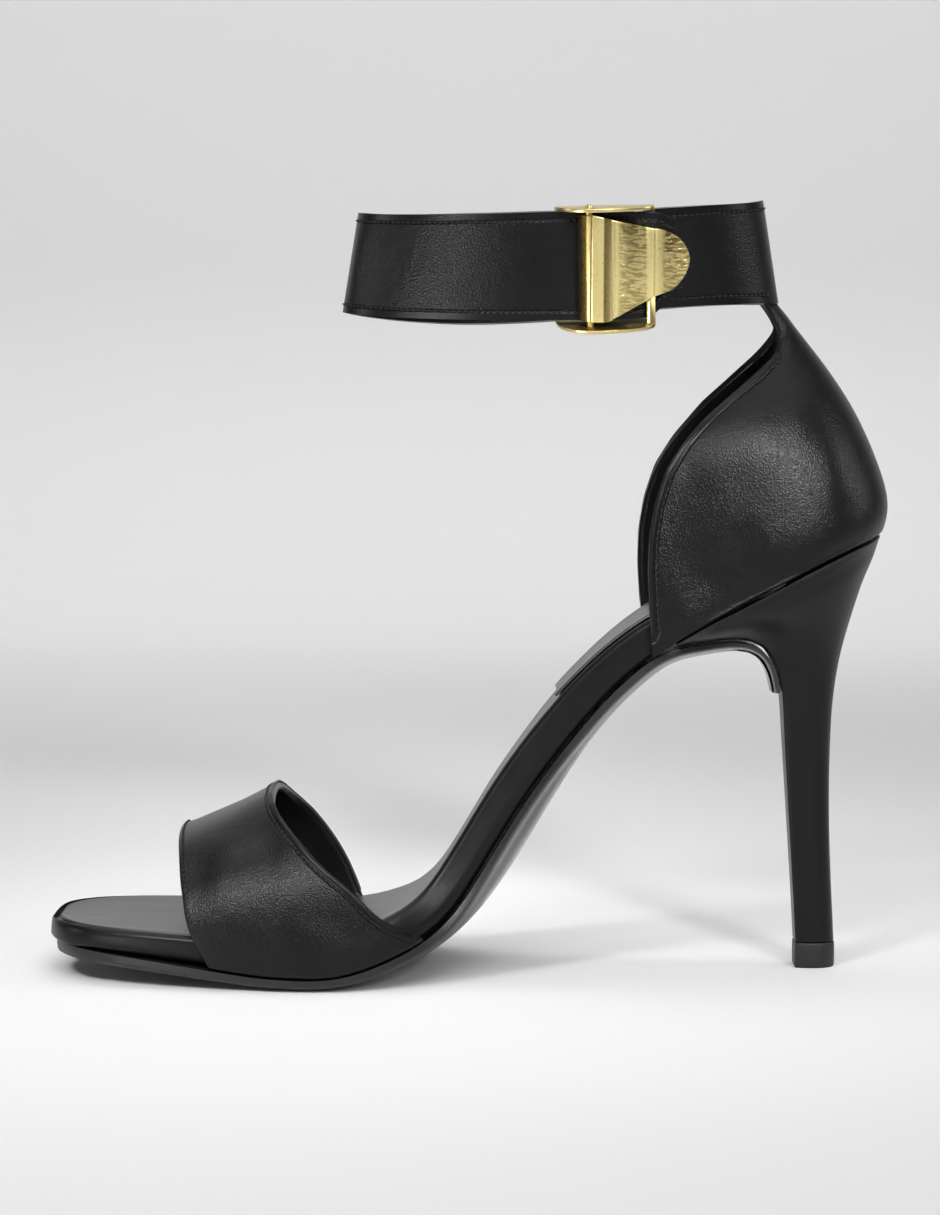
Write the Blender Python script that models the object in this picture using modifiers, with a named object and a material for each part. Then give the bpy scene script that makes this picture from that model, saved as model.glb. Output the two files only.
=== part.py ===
"""A strappy heeled sandal, left foot, standing empty on its sole.

Metres, +Z up. The toe points to -X and the outer side, with the buckle, is at -Y.
The origin lies on the floor under the ball of the foot.
"""
import math
from bisect import bisect_right

import bmesh
import bpy
from mathutils import Matrix, Vector

NAME = "strappy_heeled_sandal"

# Clearance between pieces that touch
GAP = 0.0003

# Sole: the base line is the underside of the footbed, from the toe to the heel seat
SOLE_LENGTH = 0.206
TOE_X = -0.0665
SEAT_HEIGHT = 0.1075
BALL_WIDTH = 0.076
BED_THICKNESS = 0.0092
BED_EDGE_RADIUS = 0.0018
BED_LOW_RADIUS = 0.0006
BED_DISH = 0.0008
BED_END_SHRINK = (0.0014, 0.0005)
OUTSOLE_THICKNESS = 0.0030
OUTSOLE_EDGE = 0.0010
OUTSOLE_ROUND = 0.0042
OUTSOLE_END_SHRINK = (0.0009, 0.0003)
SOLE_RIM = 0.0022
WAIST_BULGE = 0.0042
FLAP_THICKNESS = 0.0019
TOE_ROUND = 0.021
SEAT_ROUND = 0.027
SOCK_THICKNESS = 0.0008
SOCK_INSET = 0.0022
SOCK_STEP = 0.0001
PAD_INSET = 0.0034
PAD_THICKNESS = 0.0007

# Heel
TIP_HEIGHT = 0.0062
TIP_LIP = 0.0002
TIP_CHAMFER = 0.0005

# Upper
LEATHER = 0.0020
SIDE_EASE = 0.0004
STRAP_RISE = 0.0419
PEAK_SHIFT = 0.004
COUNTER_HEIGHT = 0.0555
COUNTER_WIDTH = 0.055
TAB_DEPTH = 0.0012
ARCH_POWER = 0.8
CUP_POWER = 0.87

# Ankle strap
ANKLE_THICKNESS = 0.0030
ANKLE_LENGTH = 0.1066
ANKLE_WIDTH = 0.048
ANKLE_END_LEAN = 0.0039
ANKLE_SIDE_LEAN = 0.0035
ANKLE_HEIGHT = 0.0250
ANKLE_DROP = 0.0025

# Buckle
PLATE = 0.0008
PIN_RADIUS = 0.0008
PIN_SHIFT = -0.0006
PIN_LIFT = 0.0028
PIN_HEAD = 0.0007
CHEEK_BACK = 0.0034
CHEEK_DEPTH = 0.0105
CHEEK_LEFT = 0.0084
CHEEK_RIGHT = 0.0150
CHEEK_END = 0.0040
CHEEK_EASE = 0.0003
TOP_CHEEK_SPLAY = math.radians(0.5)
LOW_CHEEK_SPLAY = math.radians(8)
BAR_WIDTH = 0.0021
BAR_LIFT = 0.0004
LEVER_LENGTH = 0.0230
LEVER_HEIGHT = 0.0254
LEVER_LIFT = 0.0048
LEVER_PLATE = 0.0009

# Sections along the sole: their distance, and the shares of them near a round end
SECTION_STEP = 0.0070
CURVE_STEPS = 400
TOE_STEPS = (0.0, 0.003, 0.009, 0.02, 0.035, 0.05)
SEAT_STEPS = (0.915, 0.94, 0.965, 0.983, 0.995, 1.0)

# Where pieces start and end, as shares of the sole's length or of a turn
SEAT_END = 0.9806
WEDGE_START = 0.740
SHANK_END = 0.715
PAD_START = 0.630
ANKLE_BACK = 0.867
BACK_TURN = 0.25
BUCKLE_TURN = 1.0147
BED_TOPS = (0.72, 0.36)
OUTSOLE_UNDERS = (0.68, 0.34)


class Table:
    """Rows of numbers with named columns, read smoothly by the first column."""

    def __init__(self, names, rows):
        self.names = names.split()
        self.rows = rows
        self.keys = [row[0] for row in rows]

    def slope(self, index, column):
        low = max(index - 1, 0)
        high = min(index + 1, len(self.rows) - 1)
        rise = self.rows[high][column] - self.rows[low][column]
        return rise / (self.keys[high] - self.keys[low])

    def read(self, name, key):
        column = self.names.index(name)
        key = min(max(key, self.keys[0]), self.keys[-1])
        index = min(bisect_right(self.keys, key), len(self.keys) - 1) - 1
        span = self.keys[index + 1] - self.keys[index]
        t = (key - self.keys[index]) / span
        start = self.rows[index][column]
        end = self.rows[index + 1][column]
        start_slope = self.slope(index, column) * span
        end_slope = self.slope(index + 1, column) * span
        return (
            start * (2 * t**3 - 3 * t**2 + 1)
            + start_slope * (t**3 - 2 * t**2 + t)
            + end * (3 * t**2 - 2 * t**3)
            + end_slope * (t**3 - t**2)
        )


# along and rise place the base line, near and far are half widths in ball widths,
# bed, outsole, rim and bulge are shares of the sizes of those names,
# twist raises the near edge and lowers the far one
SOLE = Table(
    "along rise near far bed outsole rim bulge twist",
    [
        (0.000, 0.0870, 0.349, 0.325, 0.52, 1.25, -0.85, 0.00, 0.000),
        (0.061, 0.0765, 0.368, 0.350, 0.59, 1.25, -0.20, 0.00, 0.000),
        (0.119, 0.0665, 0.408, 0.390, 0.66, 1.22, 0.40, 0.00, 0.000),
        (0.187, 0.0510, 0.447, 0.436, 0.76, 1.12, 0.90, 0.00, 0.000),
        (0.265, 0.0318, 0.479, 0.479, 0.85, 1.00, 1.00, 0.00, 0.000),
        (0.303, 0.0298, 0.493, 0.487, 0.90, 1.00, 1.00, 0.00, 0.000),
        (0.342, 0.0298, 0.492, 0.474, 0.94, 1.00, 1.00, 0.00, 0.000),
        (0.381, 0.0400, 0.476, 0.447, 0.98, 1.00, 1.00, 0.00, 0.020),
        (0.415, 0.0605, 0.453, 0.416, 1.00, 1.10, 0.85, 0.05, 0.035),
        (0.449, 0.0890, 0.421, 0.382, 1.00, 1.15, 0.40, 0.15, 0.045),
        (0.471, 0.1200, 0.395, 0.359, 0.98, 1.05, 0.15, 0.40, 0.048),
        (0.493, 0.1665, 0.368, 0.336, 0.95, 0.97, 0.08, 0.62, 0.050),
        (0.524, 0.2605, 0.337, 0.305, 0.94, 0.95, 0.04, 0.85, 0.050),
        (0.561, 0.3780, 0.309, 0.279, 0.95, 0.95, 0.00, 0.85, 0.045),
        (0.595, 0.4710, 0.293, 0.266, 0.96, 0.95, 0.00, 0.62, 0.045),
        (0.629, 0.5570, 0.288, 0.263, 0.95, 0.97, 0.00, 0.40, 0.036),
        (0.665, 0.6370, 0.289, 0.268, 0.92, 1.00, 0.00, 0.33, 0.034),
        (0.714, 0.7230, 0.303, 0.287, 0.89, 0.98, 0.00, 0.38, 0.026),
        (0.769, 0.7920, 0.320, 0.313, 0.83, 0.80, 0.00, 0.40, 0.010),
        (0.837, 0.8640, 0.329, 0.329, 0.76, 0.80, 0.00, 0.00, 0.000),
        (0.886, 0.9135, 0.329, 0.329, 0.72, 0.80, 0.00, 0.00, 0.000),
        (0.934, 0.9580, 0.329, 0.329, 0.70, 0.80, 0.00, 0.00, 0.000),
        (0.992, 1.0000, 0.329, 0.329, 0.70, 0.80, 0.00, 0.00, 0.000),
    ],
)

# The heel from the breast down to the tip. Places run along the sole and from the tip
# up to the seat, and half widths are in ball widths. The flap ends at FLAP_ROW.
HEEL = Table(
    "row front front_rise back back_rise front_half side_half",
    [
        (1, 0.745, 0.731, 0.988, 0.971, 0.303, 0.324),
        (2, 0.767, 0.737, 0.983, 0.940, 0.270, 0.308),
        (3, 0.791, 0.742, 0.975, 0.906, 0.230, 0.284),
        (4, 0.815, 0.743, 0.968, 0.870, 0.195, 0.253),
        (5, 0.836, 0.734, 0.961, 0.826, 0.162, 0.216),
        (6, 0.852, 0.713, 0.954, 0.781, 0.134, 0.179),
        (7, 0.862, 0.682, 0.948, 0.738, 0.113, 0.147),
        (8, 0.868, 0.648, 0.942, 0.688, 0.100, 0.122),
        (9, 0.871, 0.611, 0.938, 0.639, 0.089, 0.105),
        (10, 0.8735, 0.559, 0.934, 0.574, 0.079, 0.092),
        (11, 0.8755, 0.480, 0.932, 0.485, 0.070, 0.080),
        (12, 0.879, 0.371, 0.931, 0.371, 0.064, 0.072),
        (13, 0.883, 0.243, 0.932, 0.243, 0.060, 0.067),
        (14, 0.887, 0.114, 0.935, 0.114, 0.058, 0.064),
        (15, 0.890, 0.000, 0.938, 0.000, 0.057, 0.063),
    ],
)
FLAP_ROW = 9

# The outline of every heel section: how far back, and how wide
HEEL_SECTION = (
    (0.00, 0.92),
    (0.05, 1.00),
    (0.22, 1.00),
    (0.42, 1.00),
    (0.60, 0.97),
    (0.76, 0.85),
    (0.88, 0.66),
    (0.965, 0.37),
    (1.00, 0.00),
)

# Front and rear edge of the toe strap along the sole, from its near foot over the top
STRAP_EDGES = Table(
    "across front rear",
    [
        (0.00, 0.199, 0.4550),
        (0.02, 0.189, 0.4280),
        (0.05, 0.179, 0.3990),
        (0.10, 0.171, 0.3710),
        (0.15, 0.168, 0.3410),
        (0.20, 0.1640, 0.3150),
        (0.30, 0.1595, 0.2820),
        (0.40, 0.1550, 0.2680),
        (0.50, 0.1530, 0.2665),
        (0.60, 0.1540, 0.2715),
        (0.70, 0.1590, 0.2850),
        (0.80, 0.166, 0.3150),
        (0.85, 0.170, 0.3320),
        (0.90, 0.175, 0.3490),
        (0.95, 0.182, 0.3640),
        (1.00, 0.192, 0.3780),
    ],
)

# Height of the toe strap's arch above the base line
STRAP_ARCH = Table(
    "along height",
    [
        (0.150, 0.66),
        (0.163, 0.68),
        (0.190, 0.753),
        (0.226, 0.854),
        (0.274, 1.00),
        (0.323, 1.08),
        (0.371, 1.13),
        (0.450, 1.17),
    ],
)

# The counter from just above the seam up to its neck: back and front edge along the sole,
# rises in counter heights above the seat, half widths in counter widths. The slant
# lifts the far front edge and lowers the near one.
COUNTER = Table(
    "level back back_rise front front_rise half front_half slant",
    [
        (0.10, 0.9985, 0.090, 0.7085, -0.325, 0.504, 0.476, 0.000),
        (0.20, 0.9975, 0.171, 0.7060, -0.162, 0.508, 0.490, 0.000),
        (0.30, 0.9893, 0.268, 0.7073, -0.009, 0.504, 0.492, 0.000),
        (0.40, 0.9772, 0.384, 0.7141, 0.141, 0.493, 0.484, 0.000),
        (0.50, 0.9607, 0.514, 0.7267, 0.283, 0.473, 0.466, 0.000),
        (0.60, 0.9422, 0.627, 0.7480, 0.408, 0.433, 0.427, 0.004),
        (0.70, 0.9209, 0.739, 0.7820, 0.546, 0.369, 0.364, 0.018),
        (0.80, 0.8995, 0.838, 0.8250, 0.690, 0.285, 0.282, 0.022),
        (0.88, 0.8859, 0.901, 0.8544, 0.789, 0.211, 0.209, 0.030),
        (0.95, 0.8762, 0.951, 0.8680, 0.879, 0.171, 0.170, 0.024),
    ],
)
TAB_RISES = (0.06, 0.35, 0.65)
TAB_SPREAD = 0.041

# The ankle strap once round from its inner end, past the back, far side and front
ANKLE = Table(
    "turn bottom height",
    [
        (0.04, 0.030, 0.935),
        (0.09, 0.068, 0.935),
        (0.13, 0.088, 0.945),
        (0.20, 0.100, 0.975),
        (0.25, 0.108, 1.000),
        (0.38, 0.088, 0.970),
        (0.44, 0.040, 0.980),
        (0.50, -0.065, 1.000),
        (0.56, -0.100, 1.010),
        (0.62, -0.070, 1.000),
        (0.68, -0.020, 0.985),
        (0.75, 0.020, 0.965),
        (0.85, -0.030, 0.975),
        (0.95, -0.066, 1.000),
        (1.00, -0.066, 1.015),
        (1.045, -0.058, 1.010),
        (1.060, -0.010, 0.945),
        (1.068, 0.090, 0.765),
        (1.072, 0.200, 0.560),
    ],
)
ANKLE_START = 0.058
ANKLE_STOP = 1.072
LAP_START = 0.84
LAP_END = 1.00
LOOP_POWER = 2.25

# The lever from its cam over the hinge to its round end: reach in lever lengths,
# lift in lever lifts, top and bottom edge in lever heights
LEVER = Table(
    "row reach lift top bottom",
    [
        (0, -0.098, 0.10, 0.49, -0.49),
        (1, -0.106, 0.40, 0.49, -0.49),
        (2, -0.085, 0.72, 0.49, -0.49),
        (3, -0.034, 0.94, 0.49, -0.50),
        (4, 0.026, 1.00, 0.485, -0.50),
        (5, 0.145, 0.95, 0.455, -0.50),
        (6, 0.183, 0.84, 0.445, -0.485),
        (7, 0.220, 0.82, 0.435, -0.470),
        (8, 0.265, 0.80, 0.425, -0.450),
        (9, 0.430, 0.57, 0.388, -0.375),
        (10, 0.565, 0.39, 0.357, -0.315),
        (11, 0.620, 0.38, 0.347, -0.290),
        (12, 0.690, 0.33, 0.338, -0.270),
        (13, 0.790, 0.23, 0.310, -0.240),
        (14, 0.885, 0.14, 0.255, -0.180),
        (15, 0.955, 0.09, 0.180, -0.095),
        (16, 0.990, 0.06, 0.105, -0.015),
        (17, 1.000, 0.05, 0.065, 0.025),
    ],
)


def x_at(share):
    return TOE_X + SOLE_LENGTH * share


def share_at(x):
    return (x - TOE_X) / SOLE_LENGTH


def mix(start, end, share):
    return start + (end - start) * share


def smooth(share):
    share = min(max(share, 0.0), 1.0)
    return share * share * (3 - 2 * share)


def signed_power(value, power):
    return math.copysign(abs(value) ** power, value)


def end_round(share, power):
    """A quarter of a squared circle: 0 at the tip, 1 from one whole radius on."""
    share = min(max(share, 0.0), 1.0)
    return (1 - (1 - share) ** power) ** (1 / power)


def half_width(x, side, grow):
    """Half width of the footbed at x, grown outwards all round."""
    column = "near" if side < 0 else "far"
    half = SOLE.read(column, share_at(x)) * BALL_WIDTH + grow
    toe = end_round((x - TOE_X + grow) / TOE_ROUND, 2.6)
    seat = end_round((x_at(SEAT_END) + grow - x) / (SEAT_ROUND + grow), 2.3)
    return half * toe * seat


def base_height(x):
    return SOLE.read("rise", share_at(x)) * SEAT_HEIGHT


def base_frame(x):
    """The base line's point, direction and upward normal at x."""
    step = SOLE_LENGTH * 0.002
    rise = base_height(x + step) - base_height(x - step)
    along = Vector((2 * step, 0, rise)).normalized()
    normal = Vector((-along.z, 0, along.x))
    return Vector((x, 0, base_height(x))), along, normal


def on_sole(x, y, lift):
    """A point y across and lift above the base line, measured square to it."""
    point, _, normal = base_frame(x)
    twist = SOLE.read("twist", share_at(x))
    return point + normal * (lift - twist * y) + Vector((0, y, 0))


def sole_stations(start, stop, toe_end, seat_end):
    """Places along the sole, even along its curve, closer together at a round end."""
    steps = CURVE_STEPS
    xs = [mix(start, stop, i / steps) for i in range(steps + 1)]
    runs = [0.0]
    for low, high in zip(xs, xs[1:]):
        runs.append(runs[-1] + math.hypot(high - low, base_height(high) - base_height(low)))
    shares = list(TOE_STEPS) if toe_end else [0.0]
    tail = list(SEAT_STEPS) if seat_end else [1.0]
    count = round((tail[0] - shares[-1]) * runs[-1] / SECTION_STEP)
    shares += [mix(shares[-1], tail[0], i / count) for i in range(1, count)]
    shares += tail
    places = []
    for share in shares:
        index = min(bisect_right(runs, share * runs[-1]), steps) - 1
        part = (share * runs[-1] - runs[index]) / (runs[index + 1] - runs[index])
        places.append(mix(xs[index], xs[index + 1], part))
    return places


def link(obj, collection):
    collection.objects.link(obj)
    return obj


def mesh_object(name, bm, collection, material):
    mesh = bpy.data.meshes.new(name)
    bm.to_mesh(mesh)
    bm.free()
    mesh.shade_smooth()
    mesh.set_sharp_from_angle(angle=math.radians(35))
    mesh.materials.append(material)
    return link(bpy.data.objects.new(name, mesh), collection)


def loft(name, rings, collection, material):
    """A closed solid through rings that are the same near and far, with ladder caps."""
    bm = bmesh.new()
    rows = [[bm.verts.new(point) for point in ring] for ring in rings]
    count = len(rings[0])
    for low, high in zip(rows, rows[1:]):
        for i in range(count):
            j = (i + 1) % count
            bm.faces.new((low[i], low[j], high[j], high[i]))
    for row in (rows[0], rows[-1]):
        for i in range(count // 2):
            corners = [row[i], row[i + 1], row[count - 2 - i], row[count - 1 - i]]
            unique = list(dict.fromkeys(corners))
            if len(unique) > 2:
                bm.faces.new(unique)
    bmesh.ops.recalc_face_normals(bm, faces=bm.faces)
    if bm.calc_volume(signed=True) < 0:
        bmesh.ops.reverse_faces(bm, faces=bm.faces)
    return mesh_object(name, bm, collection, material)


def sheet(name, columns, rows, place, collection, material):
    """An open surface: a grid whose points are placed by their two shares."""
    bm = bmesh.new()
    bmesh.ops.create_grid(bm, x_segments=columns, y_segments=rows, size=0.5)
    for vert in bm.verts:
        vert.co = place(vert.co.x + 0.5, vert.co.y + 0.5)
    return mesh_object(name, bm, collection, material)


def thicken(obj, thickness, offset):
    solidify = obj.modifiers.new("wall", "SOLIDIFY")
    solidify.thickness = thickness
    solidify.offset = offset
    solidify.use_even_offset = True
    solidify.use_rim = True
    return obj


def boolean(obj, other, operation):
    modifier = obj.modifiers.new(operation.lower(), "BOOLEAN")
    modifier.operation = operation
    modifier.object = other
    modifier.solver = "EXACT"


def make_material(name, colour, roughness, metallic):
    material = bpy.data.materials.new(name)
    material.use_nodes = True
    shader = material.node_tree.nodes["Principled BSDF"]
    shader.inputs["Base Color"].default_value = (*colour, 1)
    shader.inputs["Roughness"].default_value = roughness
    shader.inputs["Metallic"].default_value = metallic
    return material


def dish(across):
    return -BED_DISH * (1 - across * across)


def bed_ring(x, shrink):
    """The footbed's section: flat below, a rounded edge, a dished top."""
    height = SOLE.read("bed", share_at(x)) * BED_THICKNESS - shrink
    radius = min(BED_EDGE_RADIUS, height * 0.45)
    side_points = [(BED_LOW_RADIUS, shrink / 2), (0.0, BED_LOW_RADIUS + shrink / 2)]
    for step in range(4):
        angle = math.radians(30 * step)
        side_points.append((radius * (1 - math.cos(angle)), height - radius * (1 - math.sin(angle))))
    recess = height - GAP - SOCK_THICKNESS + SOCK_STEP
    side_points.append((SOCK_INSET - GAP, recess))
    near = half_width(x, -1, 0) - shrink
    far = half_width(x, 1, 0) - shrink
    ring = [on_sole(x, -near + inset, lift) for inset, lift in side_points]
    ring += [on_sole(x, -near * t, recess + dish(t)) for t in BED_TOPS]
    ring += [on_sole(x, far * t, recess + dish(t)) for t in reversed(BED_TOPS)]
    ring += [on_sole(x, far - inset, lift) for inset, lift in reversed(side_points)]
    return ring


def make_footbed(collection, material):
    places = sole_stations(TOE_X, x_at(SEAT_END), True, True)
    places[0] = mix(places[0], places[1], 0.3)
    places[-1] = mix(places[-1], places[-2], 0.3)
    middle = [0.0] * (len(places) - 2 * len(BED_END_SHRINK))
    shrinks = [*BED_END_SHRINK, *middle, *reversed(BED_END_SHRINK)]
    rings = [bed_ring(x, shrink) for x, shrink in zip(places, shrinks)]
    return loft("footbed", rings, collection, material)


def layer_ring(x, inset, low, thickness):
    """A thin layer set into the footbed, low above its rim, that stops short of its edge."""
    top = SOLE.read("bed", share_at(x)) * BED_THICKNESS + low
    near = half_width(x, -1, -inset)
    far = half_width(x, 1, -inset)
    lower = [-near, -near * 0.62, far * 0.62, far]
    upper = [far - thickness * 0.6, far * 0.62, -near * 0.62, -near + thickness * 0.6]
    ring = []
    for y in lower:
        ring.append(on_sole(x, y, top + dish(y / (near if y < 0 else far))))
    for y in upper:
        ring.append(on_sole(x, y, top + thickness + dish(y / (near if y < 0 else far))))
    return ring[3::-1] + ring[:3:-1]


def make_layer(name, start, inset, low, thickness, toe_end, collection, material):
    places = sole_stations(start, x_at(SEAT_END) - inset, toe_end, True)
    places[0] = mix(places[0], places[1], 0.4)
    places[-1] = mix(places[-1], places[-2], 0.4)
    rings = [layer_ring(x, inset, low, thickness) for x in places]
    return loft(name, rings, collection, material)


def heel_x(row, name):
    return x_at(HEEL.read(name, row))


def heel_z(row, name):
    foot = TIP_HEIGHT + GAP
    return foot + (SEAT_HEIGHT - foot) * HEEL.read(name, row)


def heel_front(row):
    return Vector((heel_x(row, "front"), 0, heel_z(row, "front_rise")))


def outsole_frames():
    """Where the outsole's upper side runs: under the footbed, then down the breast."""
    toe = TOE_X - SOLE.read("rim", 0) * SOLE_RIM
    places = sole_stations(toe, x_at(SHANK_END), True, False)
    places[0] = mix(places[0], places[1], 0.3)
    frames = []
    for x in places:
        point, _, normal = base_frame(x)
        share = share_at(x)
        frames.append({
            "point": point - normal * GAP,
            "normal": normal,
            "thickness": SOLE.read("outsole", share) * OUTSOLE_THICKNESS,
            "near": half_width(x, -1, SOLE.read("rim", share) * SOLE_RIM),
            "far": half_width(x, 1, SOLE.read("rim", share) * SOLE_RIM),
            "bulge": SOLE.read("bulge", share) * WAIST_BULGE,
            "twist": SOLE.read("twist", share),
        })
    for row in range(1, FLAP_ROW + 1):
        along = (heel_front(row + 1) - heel_front(max(row - 1, 1))).normalized()
        normal = Vector((-along.z, 0, along.x))
        fade = (row - 1) / (FLAP_ROW - 1)
        half = HEEL.read("front_half", row) * BALL_WIDTH - GAP
        frames.append({
            "point": heel_front(row) - normal * GAP,
            "normal": normal,
            "thickness": mix(OUTSOLE_THICKNESS * 0.85, FLAP_THICKNESS, smooth(fade * 2)),
            "near": half,
            "far": half,
            "bulge": WAIST_BULGE * 0.3 * (1 - fade),
            "twist": SOLE.read("twist", share_at(heel_x(row, "front"))) * (1 - fade),
        })
    return frames


def outsole_point(frame, y, depth):
    point = frame["point"] - frame["normal"] * (depth + frame["twist"] * y) + Vector((0, y, 0))
    return Vector((point.x, point.y, max(point.z, 0.0)))


def outsole_ring(frame, shrink):
    thickness = frame["thickness"] - shrink
    near = frame["near"] - shrink
    far = frame["far"] - shrink
    side_points = [(0.0, shrink / 2), (0.0, thickness * 0.45)]
    side_points += [(OUTSOLE_EDGE, thickness * 0.75), (OUTSOLE_ROUND, thickness * 0.96)]
    ring = [outsole_point(frame, -near + inset, depth) for inset, depth in side_points]
    for t in OUTSOLE_UNDERS:
        depth = thickness + frame["bulge"] * (1 - t * t)
        ring.append(outsole_point(frame, -near * t, depth))
    for t in reversed(OUTSOLE_UNDERS):
        depth = thickness + frame["bulge"] * (1 - t * t)
        ring.append(outsole_point(frame, far * t, depth))
    ring += [outsole_point(frame, far - inset, depth) for inset, depth in reversed(side_points)]
    return ring


def make_outsole(collection, material):
    frames = outsole_frames()
    shrinks = [*OUTSOLE_END_SHRINK] + [0.0] * (len(frames) - len(OUTSOLE_END_SHRINK))
    rings = [outsole_ring(frame, shrink) for frame, shrink in zip(frames, shrinks)]
    return loft("outsole", rings, collection, material)


def heel_outline(halves):
    """The shares back and the half widths of one heel section, near then far."""
    front_half, side_half = halves
    near = []
    for share, width in HEEL_SECTION:
        half = mix(front_half, side_half, smooth(share / 0.42)) * width
        near.append((share, -half))
    far = [(share, -y) for share, y in reversed(near[:-1])]
    return near + far


def heel_ring(row):
    front = heel_front(row)
    back = Vector((heel_x(row, "back"), 0, heel_z(row, "back_rise")))
    if row <= FLAP_ROW:
        along = (heel_front(row + 1) - heel_front(max(row - 1, 1))).normalized()
        front = front + Vector((-along.z, 0, along.x)) * GAP * 0.5
    halves = (HEEL.read("front_half", row) * BALL_WIDTH, HEEL.read("side_half", row) * BALL_WIDTH)
    return [front.lerp(back, share) + Vector((0, y, 0)) for share, y in heel_outline(halves)]


def seat_ring():
    """The heel's top edge, flush with the counter and just under the footbed."""
    grow = LEATHER + GAP
    start = x_at(WEDGE_START)
    stop = x_at(SEAT_END) + grow
    ring = []
    for share, _ in HEEL_SECTION:
        x = mix(start, stop, share)
        ring.append(on_sole(x, -half_width(x, -1, grow), -GAP))
    for share, _ in reversed(HEEL_SECTION[:-1]):
        x = mix(start, stop, share)
        ring.append(on_sole(x, half_width(x, 1, grow), -GAP))
    return ring


def make_heel(collection, material):
    rings = [seat_ring()] + [heel_ring(row) for row in range(1, len(HEEL.rows) + 1)]
    return loft("heel", rings, collection, material)


def make_heel_tip(collection, material):
    last = heel_ring(len(HEEL.rows))
    centre = sum(last, Vector()) / len(last)
    rings = []
    high = TIP_HEIGHT - TIP_CHAMFER
    for height, grow in ((TIP_HEIGHT, 0.0), (high, TIP_LIP), (TIP_CHAMFER, TIP_LIP), (0.0, 0.0)):
        ring = []
        for point in last:
            outward = (point - centre).normalized()
            ring.append(Vector((point.x + outward.x * grow, point.y + outward.y * grow, height)))
        rings.append(ring)
    return loft("heel_tip", rings, collection, material)


def strap_point(u, v):
    """The toe strap's outer face: u from its front to its rear edge, v from near to far."""
    x = x_at(mix(STRAP_EDGES.read("front", v), STRAP_EDGES.read("rear", v), u))
    angle = math.pi * v
    grow = GAP + LEATHER + SIDE_EASE
    side = -1 if v < 0.5 else 1
    y = -half_width(x, side, grow) * signed_power(math.cos(angle), ARCH_POWER)
    rise = math.sin(angle) ** ARCH_POWER if 0 < v < 1 else 0.0
    y += PEAK_SHIFT * rise**3
    height = STRAP_ARCH.read("height", share_at(x)) * STRAP_RISE
    return on_sole(x, y, GAP) + Vector((0, 0, height * rise))


def strap_share(v):
    """Points sit closer together low on both sides."""
    return 0.5 - 0.5 * signed_power(math.cos(math.pi * v), 0.85)


def make_toe_strap(collection, material):
    def place(u, v):
        return strap_point(u, strap_share(v))

    strap = sheet("toe_strap", 10, 30, place, collection, material)
    return thicken(strap, LEATHER, -1)


def row_split(half, reach, length):
    """How a counter row divides into a round back and a straight side."""
    straight = max(length - reach, 0.0)
    arc = math.pi / 4 * (half + min(reach, length))
    return arc / (arc + straight)


def row_place(t, half, front_half, reach, length):
    """Half width and share of the row's length at t, from the back (0) to the front (1)."""
    split = row_split(half, reach, length)
    bend = min(reach / length, 1.0)
    if t <= split:
        angle = math.pi / 2 * t / split
        return half * math.sin(angle) ** CUP_POWER, bend * (1 - math.cos(angle) ** CUP_POWER)
    past = (t - split) / (1 - split)
    return mix(half, front_half, past * past), mix(bend, 1.0, past)


def counter_row_point(level, t, side):
    back = x_at(COUNTER.read("back", level))
    front = x_at(COUNTER.read("front", level))
    back_z = SEAT_HEIGHT + COUNTER_HEIGHT * COUNTER.read("back_rise", level)
    front_z = SEAT_HEIGHT + COUNTER_HEIGHT * COUNTER.read("front_rise", level)
    half = COUNTER_WIDTH * COUNTER.read("half", level)
    front_half = COUNTER_WIDTH * COUNTER.read("front_half", level)
    y, share = row_place(t, half, front_half, SEAT_ROUND, math.hypot(back - front, back_z - front_z))
    slant = side * COUNTER.read("slant", level) * COUNTER_HEIGHT * share
    return Vector((mix(back, front, share), side * y, mix(back_z, front_z, share) + slant))


def seam_point(t, side):
    """The counter's lower edge, wrapped round the footbed."""
    grow = LEATHER + GAP
    back = x_at(SEAT_END) + grow
    front = x_at(SHANK_END)
    half = half_width(x_at(0.86), side, grow)
    share = row_place(t, half, half, SEAT_ROUND, back - front)[1]
    x = mix(back, front, share)
    return on_sole(x, side * half_width(x, side, grow), 0.0)


def tab_point(t, side, rise):
    turn = BACK_TURN + TAB_SPREAD * t * side
    return ankle_point(turn, rise, -ANKLE_THICKNESS + TAB_DEPTH)


def counter_point(u, v):
    """The counter's outer face: u from the near front edge round the back, v upwards."""
    side = -1 if u < 0.5 else 1
    t = abs(2 * u - 1)
    levels = len(COUNTER.rows) + len(TAB_RISES)
    row = round(v * levels)
    if row == 0:
        return seam_point(t, side)
    if row <= len(COUNTER.rows):
        return counter_row_point(COUNTER.keys[row - 1], t, side)
    return tab_point(t, side, TAB_RISES[row - len(COUNTER.rows) - 1])


def make_counter(collection, material):
    levels = len(COUNTER.rows) + len(TAB_RISES)
    counter = sheet("heel_and_ankle", 24, levels, counter_point, collection, material)
    return thicken(counter, LEATHER, -1)


def ankle_point(turn, rise, out):
    """The ankle strap's outer face: turn 0 is its near side, 0.25 the back."""
    angle = 2 * math.pi * turn
    length = ANKLE_LENGTH / 2 - ANKLE_END_LEAN * rise + out
    width = ANKLE_WIDTH / 2 + ANKLE_SIDE_LEAN * rise + out
    x = x_at(ANKLE_BACK) - ANKLE_LENGTH / 2 + length * signed_power(math.sin(angle), 2 / LOOP_POWER)
    y = -width * signed_power(math.cos(angle), 2 / LOOP_POWER)
    bottom = SEAT_HEIGHT + COUNTER_HEIGHT - ANKLE_DROP + ANKLE_HEIGHT * ANKLE.read("bottom", turn)
    return Vector((x, y, bottom + rise * ANKLE_HEIGHT * ANKLE.read("height", turn)))


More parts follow.
